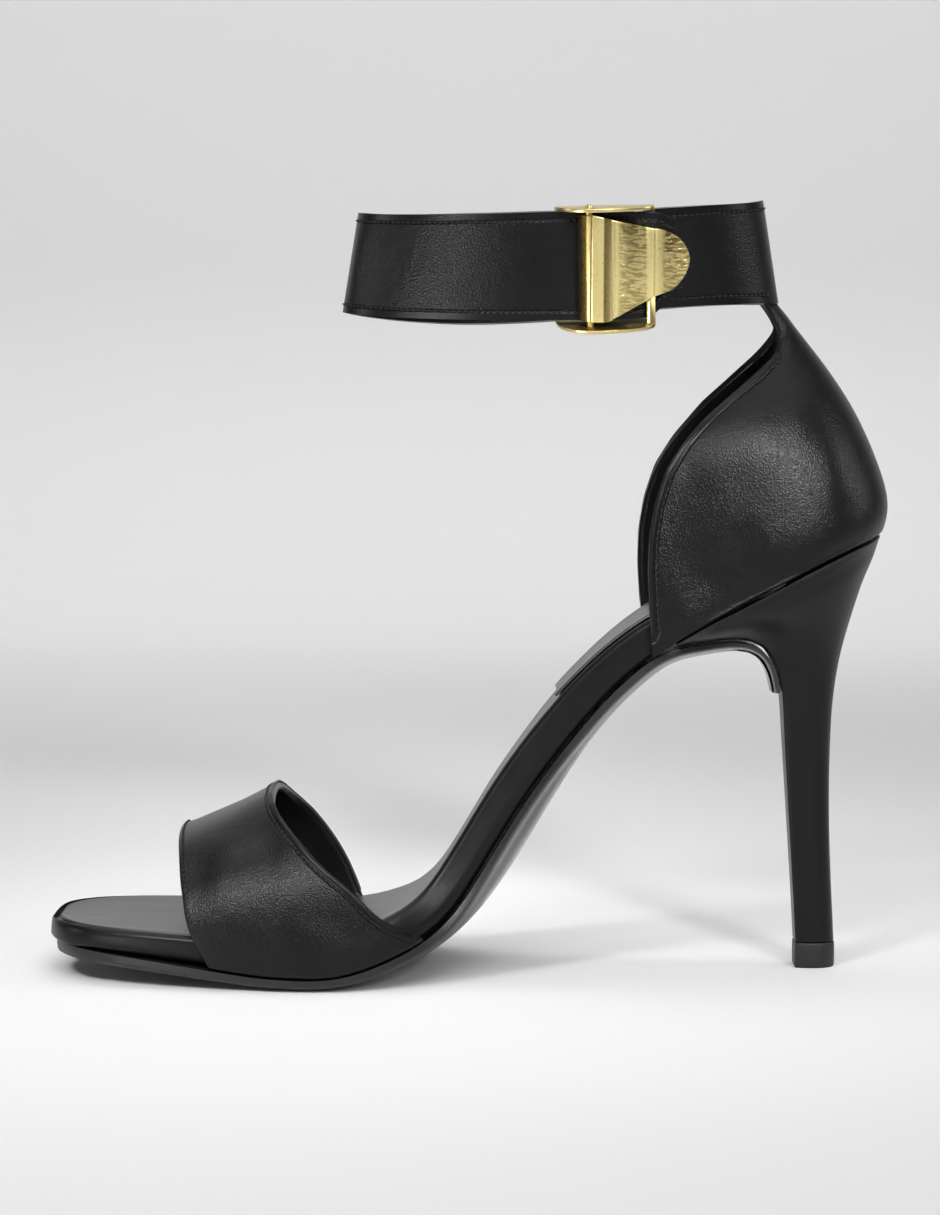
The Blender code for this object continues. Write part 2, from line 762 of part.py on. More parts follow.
def lap(turn):
    """How far the outer end stands off, to lie over the inner end."""
    share = smooth((turn - LAP_START) / (LAP_END - LAP_START))
    return (ANKLE_THICKNESS + GAP) * share


def make_ankle_strap(collection, material):
    def place(u, v):
        turn = mix(ANKLE_START, ANKLE_STOP, u)
        return ankle_point(turn, v, lap(turn))

    strap = sheet("ankle_strap_shell", 52, 3, place, collection, material)
    return thicken(strap, ANKLE_THICKNESS, -1)


def buckle_frame_axes():
    """A matrix at the hinge: x along the strap, y up its face, z outwards."""
    out = lap(BUCKLE_TURN)
    low = ankle_point(BUCKLE_TURN, 0.0, out)
    high = ankle_point(BUCKLE_TURN, 1.0, out)
    along = ankle_point(BUCKLE_TURN + 0.02, 0.5, out) - ankle_point(BUCKLE_TURN - 0.02, 0.5, out)
    up = (high - low).normalized()
    along = (along - up * along.dot(up)).normalized()
    outward = along.cross(up)
    centre = (low + high) / 2
    matrix = Matrix((along, up, outward)).transposed().to_4x4()
    matrix.translation = centre
    return matrix, (high - low).length / 2


def cheek_outline():
    """A lopsided D: its round rim is furthest out at the hinge."""
    depth = CHEEK_DEPTH
    points = []
    for step in range(9):
        angle = math.radians(90 * step / 8)
        points.append((-CHEEK_LEFT * math.cos(angle), depth * math.sin(angle) - CHEEK_BACK))
    for step in range(1, 8):
        angle = math.radians(90 * step / 7)
        drop = (depth - CHEEK_END) * (1 - math.cos(angle))
        points.append((CHEEK_RIGHT * math.sin(angle), depth - drop - CHEEK_BACK))
    points.append((CHEEK_RIGHT, -CHEEK_BACK))
    return points


def plate(name, outline, thickness, matrix, collection, material):
    """A flat outline with a thickness, made a mesh so that it can be cut and joined."""
    curve = bpy.data.curves.new(name, "CURVE")
    curve.dimensions = "2D"
    curve.fill_mode = "BOTH"
    curve.extrude = thickness / 2
    spline = curve.splines.new("POLY")
    spline.points.add(len(outline) - 1)
    for point, (x, y) in zip(spline.points, outline):
        point.co = (x, y, 0, 1)
    spline.use_cyclic_u = True
    flat = bpy.data.objects.new(name, curve)
    collection.objects.link(flat)
    depsgraph = bpy.context.evaluated_depsgraph_get()
    bm = bmesh.new()
    bm.from_mesh(bpy.data.meshes.new_from_object(flat.evaluated_get(depsgraph)))
    bpy.data.objects.remove(flat)
    bmesh.ops.remove_doubles(bm, verts=bm.verts, dist=0.00001)
    bmesh.ops.recalc_face_normals(bm, faces=bm.faces)
    obj = mesh_object(name, bm, collection, material)
    obj.matrix_world = matrix
    return obj


def cylinder(name, radius, depth, matrix, collection, material):
    bm = bmesh.new()
    bmesh.ops.create_cone(bm, cap_ends=True, segments=16, radius1=radius, radius2=radius, depth=depth)
    obj = mesh_object(name, bm, collection, material)
    obj.matrix_world = matrix
    return obj


def box(name, size, matrix, collection, material):
    bm = bmesh.new()
    bmesh.ops.create_cube(bm, size=1.0, matrix=Matrix.Diagonal((*size, 1)))
    obj = mesh_object(name, bm, collection, material)
    obj.matrix_world = matrix
    return obj


def cheek_place(axes, half, side):
    """Where a cheek lies: hinged at its back edge, splayed outwards."""
    level = half + CHEEK_EASE + PLATE / 2
    splay = TOP_CHEEK_SPLAY if side > 0 else LOW_CHEEK_SPLAY
    turn = Matrix.Rotation(-side * splay, 4, "X") @ Matrix.Translation((0, 0, CHEEK_BACK))
    flat = Matrix.Rotation(math.radians(90), 4, "X")
    return axes @ Matrix.Translation((0, side * level, -CHEEK_BACK)) @ turn @ flat


def cheek_level(half, side, lift):
    """How far along the hinge a cheek's middle lies, lift out from the strap."""
    splay = TOP_CHEEK_SPLAY if side > 0 else LOW_CHEEK_SPLAY
    return half + CHEEK_EASE + PLATE / 2 + math.tan(splay) * (CHEEK_BACK + lift)


def upright(axes, x, lift, low, high):
    """A place for a box or a cylinder that stands along the strap's height."""
    return axes @ Matrix.Translation((x, (low + high) / 2, lift))


def make_buckle_frame(parts, tools, material):
    axes, half = buckle_frame_axes()
    outline = cheek_outline()
    frame = plate("buckle_frame", outline, PLATE, cheek_place(axes, half, -1), parts, material)
    top = plate("cheek_top", outline, PLATE, cheek_place(axes, half, 1), tools, material)
    lift = BAR_LIFT + PLATE / 2
    low = -cheek_level(half, -1, lift)
    high = cheek_level(half, 1, lift)
    place = upright(axes, CHEEK_RIGHT - BAR_WIDTH / 2, lift, low, high)
    bar = box("bar", (BAR_WIDTH, high - low + PLATE / 2, PLATE), place, tools, material)
    hole_place = upright(axes, PIN_SHIFT, PIN_LIFT, 2 * low, 2 * high)
    hole_place = hole_place @ Matrix.Rotation(math.radians(90), 4, "X")
    hole = cylinder("hinge_hole", PIN_RADIUS + GAP, 2 * (high - low), hole_place, tools, material)
    boolean(frame, top, "UNION")
    boolean(frame, bar, "UNION")
    boolean(frame, hole, "DIFFERENCE")
    return frame


def make_buckle_pin(collection, material):
    axes, half = buckle_frame_axes()
    high = cheek_level(half, 1, PIN_LIFT) + PLATE / 2 + PIN_HEAD
    low = -cheek_level(half, -1, PIN_LIFT) - PLATE
    place = upright(axes, PIN_SHIFT, PIN_LIFT, low, high) @ Matrix.Rotation(math.radians(90), 4, "X")
    return cylinder("buckle_pin", PIN_RADIUS, high - low, place, collection, material)


def make_buckle_lever(collection, material):
    axes, _ = buckle_frame_axes()
    last = len(LEVER.rows) - 1

    def place(u, v):
        row = u * last
        x = LEVER.read("reach", row) * LEVER_LENGTH
        lift = LEVER.read("lift", row) * LEVER_LIFT
        y = mix(LEVER.read("bottom", row), LEVER.read("top", row), v) * LEVER_HEIGHT
        return Vector((x, y, lift))

    lever = sheet("buckle_lever", 2 * last, 4, place, collection, material)
    lever.matrix_world = axes
    return thicken(lever, LEVER_PLATE, 1)


def main():
    for obj in list(bpy.data.objects):
        bpy.data.objects.remove(obj)
    parts = bpy.data.collections.new(NAME)
    tools = bpy.data.collections.new("cutters")
    bpy.context.scene.collection.children.link(parts)
    bpy.context.scene.collection.children.link(tools)
    leather = make_material("black_leather", (0.012, 0.012, 0.013), 0.42, 0.0)
    heel_cover = make_material("heel_cover", (0.010, 0.010, 0.011), 0.38, 0.0)
    sole = make_material("glossy_sole", (0.018, 0.018, 0.019), 0.22, 0.0)
    lining = make_material("insole_lining", (0.030, 0.030, 0.032), 0.50, 0.0)
    rubber = make_material("heel_tip_rubber", (0.015, 0.015, 0.016), 0.55, 0.0)
    gold = make_material("gold_metal", (0.83, 0.62, 0.24), 0.28, 1.0)

    make_outsole(parts, sole)
    make_footbed(parts, leather)
    sock_low = SOCK_STEP - SOCK_THICKNESS
    make_layer("insole_sock", TOE_X + SOCK_INSET, SOCK_INSET, sock_low, SOCK_THICKNESS, True, parts, lining)
    pad_low = SOCK_STEP + GAP
    make_layer("heel_pad", x_at(PAD_START), PAD_INSET, pad_low, PAD_THICKNESS, False, parts, lining)
    make_toe_strap(parts, leather)
    counter = make_counter(parts, leather)
    ankle = make_ankle_strap(tools, leather)
    boolean(counter, ankle, "UNION")
    make_heel(parts, heel_cover)
    make_heel_tip(parts, rubber)
    make_buckle_frame(parts, tools, gold)
    make_buckle_pin(parts, gold)
    make_buckle_lever(parts, gold)
    for tool in tools.objects:
        tool.hide_render = True
        tool.display_type = "WIRE"


main()
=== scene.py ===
"""The looks of a black strappy heeled sandal: leather, stitching, sole, heel and buckle.

Metres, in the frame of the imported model: the toe points to -X, the buckle is at -Y.
"""
import math

import bmesh
import bpy
from mathutils import Matrix, Vector
from mathutils.bvhtree import BVHTree
from mathutils.kdtree import KDTree


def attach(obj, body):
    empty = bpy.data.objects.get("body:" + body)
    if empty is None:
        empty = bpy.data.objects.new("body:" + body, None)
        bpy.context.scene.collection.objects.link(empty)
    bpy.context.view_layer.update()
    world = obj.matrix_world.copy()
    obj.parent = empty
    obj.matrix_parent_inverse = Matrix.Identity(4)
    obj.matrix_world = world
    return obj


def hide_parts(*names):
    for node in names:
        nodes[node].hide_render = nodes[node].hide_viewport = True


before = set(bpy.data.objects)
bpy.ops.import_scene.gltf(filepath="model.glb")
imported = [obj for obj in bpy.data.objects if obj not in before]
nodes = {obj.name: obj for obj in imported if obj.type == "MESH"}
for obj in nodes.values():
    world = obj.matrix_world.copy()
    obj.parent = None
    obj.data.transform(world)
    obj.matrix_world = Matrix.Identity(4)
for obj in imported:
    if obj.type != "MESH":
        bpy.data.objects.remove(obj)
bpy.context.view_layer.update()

# The photograph's frame and viewing angle
PHOTO_WIDTH = 940
PHOTO_LONG_SIDE = 1215
LENS_PIXELS = 3591.8
SENSOR = 36.0
CAMERA_PLACE = Vector((0.03675, -0.880, 0.152))
CAMERA_PITCH = math.radians(4.1155)

# Leather work
EDGE_ROUND = 0.0007
STITCH_SHARE = 0.74
STITCH_RADIUS = 0.00022
STITCH_RISE = 0.00010
STITCH_INSET = 0.0020
FRONT_STITCH_INSET = 0.0012
TOE_STITCH = 0.0016
ANKLE_STITCH = 0.0015
COUNTER_STITCH = 0.0018
BINDING_INSET = 0.0007
BINDING_HALF = 0.0007
BINDING_RISE = 0.00030
BINDING_SIDES = 6
BINDING_FROM = -20
BINDING_SWEEP = 220
BINDING_STRIDE = 3
FOLD_STEP = 0.0008
FOLD_RELAXING = 8
FOLD_END_SHARE = 0.3
FOLD_END_POWER = 0.7

# Lines along the trimmed edges, and how far the leather knows its edge
TRIM_STEP = 0.0005
TRIM_REACH = 0.012
EDGE_HALVINGS = 18
EDGE_RELAXING = 6
FACING_LEAST = 0.5

# Feeler rays that find the toe strap's edges: they aim at an axis along X
STRAP_RAYS = 60
STRAP_LOW_ANGLE = 2.0
STRAP_AXIS_HEIGHT = 0.012
STRAP_REACH = 0.060
STRAP_RAY_LENGTH = 0.048
STRAP_MIDDLE = -0.021
STRAP_FRONT_MISS = -0.050
STRAP_REAR_MISS = 0.045

# Feeler rays that find the ankle strap's edges: they aim at an upright axis
ANKLE_RAYS = 240
ANKLE_AXIS_X = 0.0588
ANKLE_REACH = 0.090
ANKLE_RAY_LENGTH = 0.081
ANKLE_MIDDLE = 0.174
ANKLE_TOP_MISS = 0.202
ANKLE_LOW_MISS = 0.1565
SHORTEST_RUN = 8

# Feeler rays that find the counter's front edge, one at each height; it leans back higher up
COUNTER_RAYS = 70
COUNTER_LOW = 0.0840
COUNTER_TOP = 0.1500
COUNTER_REACH = 0.050
COUNTER_MISS = 0.066
COUNTER_INSIDE = 0.0835
COUNTER_LEANS_FROM = 0.100
COUNTER_LEAN = 0.65

# The ankle strap's outer end, in the photograph's columns and rows
END_LEFT = 608
END_RISEN = 642
END_FALLS = 658
END_FALLEN = 678
END_FALL = 0.8
END_COLUMN_STEP = 4
END_COLUMNS = 18
END_TOP = 211.5
END_SLANTS_FROM = 655
END_SLANT = 0.35
END_FIRST_ROW = 2
END_ROW_STEP = 6
END_ROWS = 9
END_SEAM_ROWS = 8
END_SEAM_LEFT = 612
END_SEAM_COLUMN_STEP = 2
END_SEAM_COLUMNS = 28
# Its depth in metres: the strap's own depth at one photo place, and its slopes
STRAP_DEPTH = -0.02907
STRAP_DEPTH_COLUMN = 650
STRAP_DEPTH_ROW = 216
STRAP_DEPTH_PER_COLUMN = 0.000031
STRAP_DEPTH_PER_ROW = 0.0000301
END_CLEARANCE = 0.0004
END_LIFT = 0.0021
END_THICKNESS = 0.0003
END_SEAM_RISE = 0.00017
END_FACES = Vector((-0.12, -0.98, 0.14)).normalized()

# The lever's plate bulges behind its hinge
LEVER_CROWN = 0.0007
LEVER_CROWN_FROM = 0.0690
LEVER_CROWN_RISE = 0.0040

# The paper floor and wall
FLOOR_BACK = 0.95
WALL_HEIGHT = 2.2
SWEEP_RADIUS = 0.20
SWEEP_STEPS = 12
FLOOR_FRONT = -1.00
FLOOR_HALF = 2.4

# The leather's blacks, from its deepest to its palest patches
DEEP_BLACK = (0.0030, 0.0030, 0.0033)
WRAPPED_BLACK = (0.0032, 0.0032, 0.0035)
PALE_BLACK = (0.0052, 0.0052, 0.0056)


# Shader maths


class Wire:
    """A shader socket that takes part in Python's arithmetic."""

    def __init__(self, tree, socket):
        self.tree = tree
        self.socket = socket

    def math(self, operation, *values, clamp=False):
        node = self.tree.nodes.new("ShaderNodeMath")
        node.operation = operation
        node.use_clamp = clamp
        for entry, value in zip(node.inputs, (self, *values)):
            feed(self.tree, entry, value)
        return Wire(self.tree, node.outputs[0])

    def __add__(self, other):
        return self.math("ADD", other)

    def __radd__(self, other):
        return self.math("ADD", other)

    def __sub__(self, other):
        return self.math("SUBTRACT", other)

    def __rsub__(self, other):
        return (self * -1.0).math("ADD", other)

    def __mul__(self, other):
        return self.math("MULTIPLY", other)

    def __rmul__(self, other):
        return self.math("MULTIPLY", other)

    def __truediv__(self, other):
        return self.math("DIVIDE", other)

    def __abs__(self):
        return self.math("ABSOLUTE")

    def ramp(self, start, stop):
        """0 below start, 1 above stop, soft between them. start may be the higher one."""
        share = ((self - start) / (stop - start)).math("ADD", 0.0, clamp=True)
        return share * share * (3.0 - 2.0 * share)

    def bump_at(self, place, half):
        """1 at the place, falling softly to 0 on both sides of it."""
        return abs(self - place).ramp(half, 0.0)


def feed(tree, entry, value):
    """Links a wire to a socket, or sets the socket's value."""
    if isinstance(value, Wire):
        tree.links.new(value.socket, entry)
    elif hasattr(entry, "default_value"):
        entry.default_value = value


class Finish:
    """A material: a Principled shader with constants, and the nodes that feed it."""

    def __init__(self, name, colour, **constants):
        self.material = bpy.data.materials.new(name)
        self.material.use_nodes = True
        self.tree = self.material.node_tree
        self.shader = self.tree.nodes["Principled BSDF"]
        self.shader.inputs["Base Color"].default_value = (*colour, 1.0)
        for socket, value in constants.items():
            self.shader.inputs[socket.replace("_", " ")].default_value = value

    def node(self, kind, settings=None, values=None, output=0):
        """Adds any other node: its settings first, then its sockets' values or links."""
        node = self.tree.nodes.new(kind)
        for key, value in (settings or {}).items():
            setattr(node, key, value)
        for key, value in (values or {}).items():
            feed(self.tree, node.inputs[key], value)
        return Wire(self.tree, node.outputs[output])

    def vector(self, operation, values):
        return self.node("ShaderNodeVectorMath", {"operation": operation}, values)

    def place(self):
        """The place on the piece, in metres."""
        return self.node("ShaderNodeTexCoord", output="Object")

    def axis(self, letter, place):
        return self.node("ShaderNodeSeparateXYZ", values={0: place}, output=letter)

    def stretch(self, place, scale):
        return self.node("ShaderNodeMapping", values={"Vector": place, "Scale": scale})

    def trim(self):
        """Distance from the piece's trimmed edge, in metres."""
        return self.node("ShaderNodeAttribute", {"attribute_name": "trim"}, output="Fac")

    def noise(self, place, scale, detail=2.0, distortion=0.0):
        values = {"Vector": place, "Scale": scale, "Detail": detail, "Distortion": distortion}
        return self.node("ShaderNodeTexNoise", values=values, output="Fac")

    def pebbles(self, place, scale):
        """Small rounded cells, as in leather's grain."""
        values = {"Vector": place, "Scale": scale, "Smoothness": 0.4, "Randomness": 1.0}
        return self.node("ShaderNodeTexVoronoi", {"feature": "SMOOTH_F1"}, values, "Distance")

    def wander(self, place, scale, amount):
        """The place, pushed about by a soft noise so that a pattern loses its regularity."""
        values = {"Vector": place, "Scale": scale, "Detail": 1.0}
        push = self.node("ShaderNodeTexNoise", values=values, output="Color")
        centred = self.vector("SUBTRACT", {0: push, 1: (0.5,) * 3})
        scaled = self.vector("SCALE", {0: centred, "Scale": amount})
        return self.vector("ADD", {0: place, 1: scaled})

    def blend(self, share, low, high):
        values = {"Factor": share, 6: (*low, 1.0), 7: (*high, 1.0)}
        return self.node("ShaderNodeMix", {"data_type": "RGBA"}, values, 2)

    def profile(self, value, stops):
        """Reads a smooth curve through (value, level) stops, with levels from 0 to 1."""
        low, high = stops[0][0], stops[-1][0]
        node = self.tree.nodes.new("ShaderNodeValToRGB")
        node.color_ramp.interpolation = "EASE"
        elements = node.color_ramp.elements
        while len(elements) < len(stops):
            elements.new(0.5)
        for element, (key, level) in zip(elements, stops):
            element.position = (key - low) / (high - low)
            element.color = (level, level, level, 1.0)
        feed(self.tree, node.inputs[0], (value - low) / (high - low))
        return Wire(self.tree, node.outputs[0])

    def set(self, socket, value):
        feed(self.tree, self.shader.inputs[socket], value)

    def relief(self, height, depth, strength=1.0):
        """Bumps of the given depth in metres, on top of any that are there already."""
        values = {"Height": height, "Distance": depth, "Strength": strength}
        entry = self.shader.inputs["Normal"]
        if entry.is_linked:
            values["Normal"] = Wire(self.tree, entry.links[0].from_socket)
        self.set("Normal", self.node("ShaderNodeBump", values=values))


def upper_leather():
    """Satin black leather with a fine pebble grain, sewn down along its edges."""
    finish = Finish("upper_leather", (0.0065, 0.0065, 0.0072), Specular_IOR_Level=0.23)
    place = finish.place()
    loose = finish.wander(place, 420.0, 0.0008)
    pebbles = finish.pebbles(loose, 2500.0)
    pores = finish.noise(place, 4200.0, 3.0)
    patches = finish.noise(place, 95.0, 3.0)
    trim = finish.trim()
    seam = trim.bump_at(STITCH_INSET, 0.0005)
    grain = 0.35 + trim.ramp(0.0012, 0.0028) * 0.65
    finish.relief((pebbles * 0.75 + pores * 0.25) * grain, 0.00012, 0.8)
    finish.relief(seam * -1.0, 0.00022)
    finish.set("Roughness", 0.24 + patches * 0.07 + pebbles * 0.05)
    finish.set("Base Color", finish.blend(patches, DEEP_BLACK, PALE_BLACK))
    return finish.material


def wrapped_leather():
    """Smoother black leather, pulled tight over the footbed and the heel."""
    finish = Finish("wrapped_leather", (0.006, 0.006, 0.0065), Specular_IOR_Level=0.22)
    place = finish.place()
    pores = finish.noise(place, 3800.0, 3.0)
    waves = finish.noise(place, 210.0, 2.0)
    finish.relief(pores * 0.6 + waves * 0.4, 0.00007, 0.5)
    finish.set("Roughness", 0.30 + waves * 0.09)
    finish.set("Base Color", finish.blend(waves, WRAPPED_BLACK, PALE_BLACK))
    return finish.material


def insole_leather():
    """Soft lining with faint streaks along the foot."""
    finish = Finish("insole_leather", (0.018, 0.018, 0.019), Specular_IOR_Level=0.7)
    place = finish.place()
    streaks = finish.noise(finish.stretch(place, (22.0, 330.0, 60.0)), 1.0, 4.0, 0.6)
    pores = finish.noise(place, 3000.0, 3.0)
    finish.relief(streaks * 0.7 + pores * 0.3, 0.00016, 0.6)
    finish.set("Roughness", 0.27 + streaks * 0.12)
    finish.set("Base Color", finish.blend(streaks, (0.012, 0.012, 0.013), (0.028, 0.028, 0.029)))
    return finish.material


def sole_gloss():
    """Smooth, glossy sole with the faintest waves from its mould."""
    finish = Finish(
        "sole_gloss",
        (0.008, 0.008, 0.009),
        Specular_IOR_Level=0.45,
        Coat_Roughness=0.12,
    )
    place = finish.place()
    waves = finish.noise(place, 130.0, 2.0)
    specks = finish.noise(place, 4200.0, 2.0)
    finish.relief(waves * 0.8 + specks * 0.2, 0.00010, 0.35)
    waist = finish.axis("X", place).ramp(0.020, 0.045)
    finish.set("Roughness", 0.36 + waves * 0.10 - waist * 0.14)
    finish.set("Base Color", finish.blend(waves, (0.006, 0.006, 0.007), (0.010, 0.010, 0.011)))
    finish.set("Coat Weight", waist * 0.4)
    return finish.material


def tip_rubber():
    """Dull, slightly gritty rubber under the heel."""
    finish = Finish("tip_rubber", (0.008, 0.008, 0.009), Specular_IOR_Level=0.4)
    place = finish.place()
    grit = finish.noise(place, 2600.0, 3.0)
    finish.relief(grit, 0.00008, 0.6)
    finish.set("Roughness", 0.42 + grit * 0.20)
    finish.set("Base Color", finish.blend(grit, (0.006, 0.006, 0.007), (0.012, 0.012, 0.013)))
    return finish.material


def thread():
    """Black thread: fine twist along each stitch."""
    finish = Finish("black_thread", (0.009, 0.009, 0.010), Specular_IOR_Level=0.4)
    place = finish.place()
    twist = finish.noise(place, 6500.0, 2.0)
    finish.relief(twist, 0.00005, 0.6)
    finish.set("Roughness", 0.46 + twist * 0.2)
    finish.set("Base Color", finish.blend(twist, (0.006, 0.006, 0.007), (0.014, 0.014, 0.015)))
    return finish.material


# The lever's pressed bands, from its cam to its round end: place along X, height and tone.
# The tone is painted highlight and shade on the bands: 0 paints the dark gold of painted shade
# and 1 the bright gold of a painted highlight.
LEVER_BANDS = (
    (0.0620, 0.10, 0.03),
    (0.0643, 0.46, 0.10),
    (0.0648, 0.42, 0.75),
    (0.0652, 0.30, 0.10),
    (0.0656, 0.40, 0.95),
    (0.0680, 0.70, 1.00),
    (0.0683, 0.64, 0.16),
    (0.0694, 0.50, 0.36),
    (0.0701, 0.56, 1.00),
    (0.0706, 0.52, 0.84),
    (0.0712, 0.56, 1.00),
    (0.0720, 0.50, 0.72),
    (0.0752, 0.48, 0.66),
    (0.0780, 0.46, 0.74),
    (0.0788, 0.56, 0.96),
    (0.0799, 0.66, 1.00),
    (0.0802, 0.58, 0.72),
    (0.0806, 0.66, 1.00),
    (0.0816, 0.64, 0.86),
    (0.0828, 0.58, 0.50),
    (0.0885, 0.40, 0.62),
)


def gold(name, pressed):
    """Polished gold plate, mottled, and finely wrinkled where it was pressed to shape. Where
    pressed, its colour also carries painted light: painted highlights and shade in bands along
    the lever, painted shade toward the top of its wrinkled parts, and painted shade and highlight
    along the wrinkle lines.
    """
    finish = Finish(name, (0.84, 0.63, 0.23), Metallic=1.0)
    place = finish.place()
    mottle = finish.noise(place, 1700.0, 4.0)
    if pressed:
        along = finish.axis("X", place)
        up = finish.axis("Z", place)
        loose = finish.wander(place, 500.0, 0.0007)
        wrinkles = finish.noise(finish.stretch(loose, (420.0, 300.0, 2300.0)), 1.0, 1.0, 0.3)
        middle = along.ramp(0.0714, 0.0726) * along.ramp(0.0789, 0.0776)
        end = along.ramp(0.0816, 0.0832)
        wrinkled = middle + end
        lines = wrinkles.ramp(0.40, 0.62)
        # Painted highlights and shade, band by band along the lever, from the tone column of
        # LEVER_BANDS
        painted_band_light = finish.profile(along, [(x, tone) for x, _, tone in LEVER_BANDS])
        # Painted shade: the wrinkled parts darken toward their top
        shade = up.ramp(0.1690, 0.1830) * wrinkled * 0.25
        # The colour's tone: the bands' painted light, the painted shade above, and painted shade
        # and highlight along the wrinkle lines, over a real mottle
        tone = painted_band_light - shade + (lines - 0.5) * wrinkled * 0.46 + (mottle - 0.5) * 0.34
        finish.relief(finish.profile(along, [(x, level) for x, level, _ in LEVER_BANDS]), 0.0006)
        finish.relief(lines * wrinkled, 0.00002)
    else:
        tone = 0.50 + finish.noise(place, 210.0, 3.0) * 0.45
    finish.set("Roughness", 0.24 + mottle * 0.12)
    # On the pressed lever the dark gold is painted shade and the bright gold a painted highlight;
    # on the plain plate they bound its random tone
    dark, bright = (0.11, 0.07, 0.013), (1.00, 0.83, 0.37)
    share = tone.math("ADD", 0.0, clamp=True)
    finish.set("Base Color", finish.blend(share, dark, bright))
    return finish.material


# Dressed pieces


def merged_copy(node):
    """The node's mesh as joined quads, from its loose triangles."""
    bm = bmesh.new()
    bm.from_mesh(nodes[node].data)
    bmesh.ops.remove_doubles(bm, verts=bm.verts, dist=1e-6)
    bmesh.ops.join_triangles(
        bm,
        faces=bm.faces,
        angle_face_threshold=math.radians(25),
        angle_shape_threshold=math.radians(60),
    )
    return bm


def sharp_edges(bm, limit, shortest):
    """The edges that bend by more than the limit, in degrees, and aren't too short."""
    chosen = []
    for edge in bm.edges:
        if len(edge.link_faces) == 2 and edge.calc_length() > shortest:
            if edge.calc_face_angle(0) > math.radians(limit):
                chosen.append(edge)
    return chosen


def round_edges(bm, width, limit, shortest):
    """Rounds the piece's sharp edges."""
    bmesh.ops.bevel(
        bm,
        geom=sharp_edges(bm, limit, shortest),
        offset=width,
        segments=2,
        profile=0.5,
        affect="EDGES",
        clamp_overlap=True,
        material=-1,
    )


def round_seam(bm, neighbour, reach, width):
    """A wider rounding where a piece meets its neighbour."""
    chosen = []
    for edge in sharp_edges(bm, 45, 0.0):
        if all(neighbour.find_nearest(vert.co)[3] < reach for vert in edge.verts):
            chosen.append(edge)
    bmesh.ops.bevel(
        bm,
        geom=chosen,
        offset=width,
        segments=3,
        profile=0.5,
        affect="EDGES",
        clamp_overlap=True,
        material=-1,
    )


def add_object(name, bm, material):
    """A new piece at the origin from a mesh that is then freed."""
    mesh = bpy.data.meshes.new(name)
    bm.to_mesh(mesh)
    bm.free()
    mesh.shade_smooth()
    mesh.materials.append(material)
    obj = bpy.data.objects.new(name, mesh)
    bpy.context.scene.collection.objects.link(obj)
    return obj


def smoothed(obj, levels):
    """Applies a subdivision surface, so that the mesh itself can be shaped further."""
    if levels:
        modifier = obj.modifiers.new("smooth", "SUBSURF")
        modifier.levels = levels
        modifier.render_levels = levels
        depsgraph = bpy.context.evaluated_depsgraph_get()
        mesh = bpy.data.meshes.new_from_object(obj.evaluated_get(depsgraph))
        obj.modifiers.clear()
        obj.data = mesh
    return obj


def dress(node, name, material, width, levels, shortest=0.0, limit=38, seam=None):
    """Replaces a node by a rounded, smooth copy in its finish."""
    bm = merged_copy(node)
    if seam:
        round_seam(bm, *seam)
    round_edges(bm, width, limit, shortest)
    obj = smoothed(add_object(name, bm, material), levels)
    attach(obj, "root")
    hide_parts(node)
    return obj


# Trimmed edges


def surface_tree(node):
    """The node's surface, ready for rays and nearest points."""
    bm = merged_copy(node)
    tree = BVHTree.FromBMesh(bm)
    bm.free()
    return tree


def facing(tree, ray, reach, value):
    """The place where a ray meets a face that looks towards it, or nothing."""
    origin, direction = ray(value)
    place, normal, _, _ = tree.ray_cast(origin, direction, reach)
    if place is None or -normal.dot(direction) < FACING_LEAST:
        return None
    return place


def edge_point(tree, ray, reach, miss, hit):
    """Slides a ray from a miss to a hit and stops at the edge between them."""
    for _ in range(EDGE_HALVINGS):
        middle = (miss + hit) / 2
        if facing(tree, ray, reach, middle) is None:
            miss = middle
        else:
            hit = middle
    return facing(tree, ray, reach, hit)


def evened(points, step):
    """The same line with points an equal step apart."""
    runs = [0.0]
    for low, high in zip(points, points[1:]):
        runs.append(runs[-1] + (high - low).length)
    count = max(round(runs[-1] / step), 1)
    line = []
    index = 0
    for i in range(count + 1):
        goal = runs[-1] * i / count
        while index < len(runs) - 2 and runs[index + 1] < goal:
            index += 1
        share = (goal - runs[index]) / max(runs[index + 1] - runs[index], 1e-9)
        line.append(points[index].lerp(points[index + 1], min(share, 1.0)))
    return line


def relaxed(points, rounds):
    """A line without the small corners of the mesh that it was taken from."""
    for _ in range(rounds):
        middle = [(a + 2 * b + c) / 4 for a, b, c in zip(points, points[1:], points[2:])]
        points = [points[0], *middle, points[-1]]
    return points


def inset_line(tree, edge, inward, inset):
    """The edge line moved in over the surface, with the surface's normals."""
    line = []
    for i, point in enumerate(edge):
        before = edge[max(i - 1, 0)]
        after = edge[min(i + 1, len(edge) - 1)]
        tangent = (after - before).normalized()
        towards = inward(point)
        towards = (towards - tangent * towards.dot(tangent)).normalized()
        place, normal, _, _ = tree.find_nearest(point + towards * inset)
        line.append((place, normal))
    return line


def toe_strap_edge(tree, rear):
    """The toe strap's front or rear edge, from its near foot over the top."""
    points = []
    sweep = 180 - 2 * STRAP_LOW_ANGLE
    for step in range(STRAP_RAYS + 1):
        angle = math.radians(STRAP_LOW_ANGLE + sweep * step / STRAP_RAYS)
        out = Vector((0, -math.cos(angle), math.sin(angle)))

        def ray(x):
            return Vector((x, 0, STRAP_AXIS_HEIGHT)) + out * STRAP_REACH, -out

        miss = STRAP_REAR_MISS if rear else STRAP_FRONT_MISS
        points.append(edge_point(tree, ray, STRAP_RAY_LENGTH, miss, STRAP_MIDDLE))
    return relaxed(evened(points, TRIM_STEP), EDGE_RELAXING)


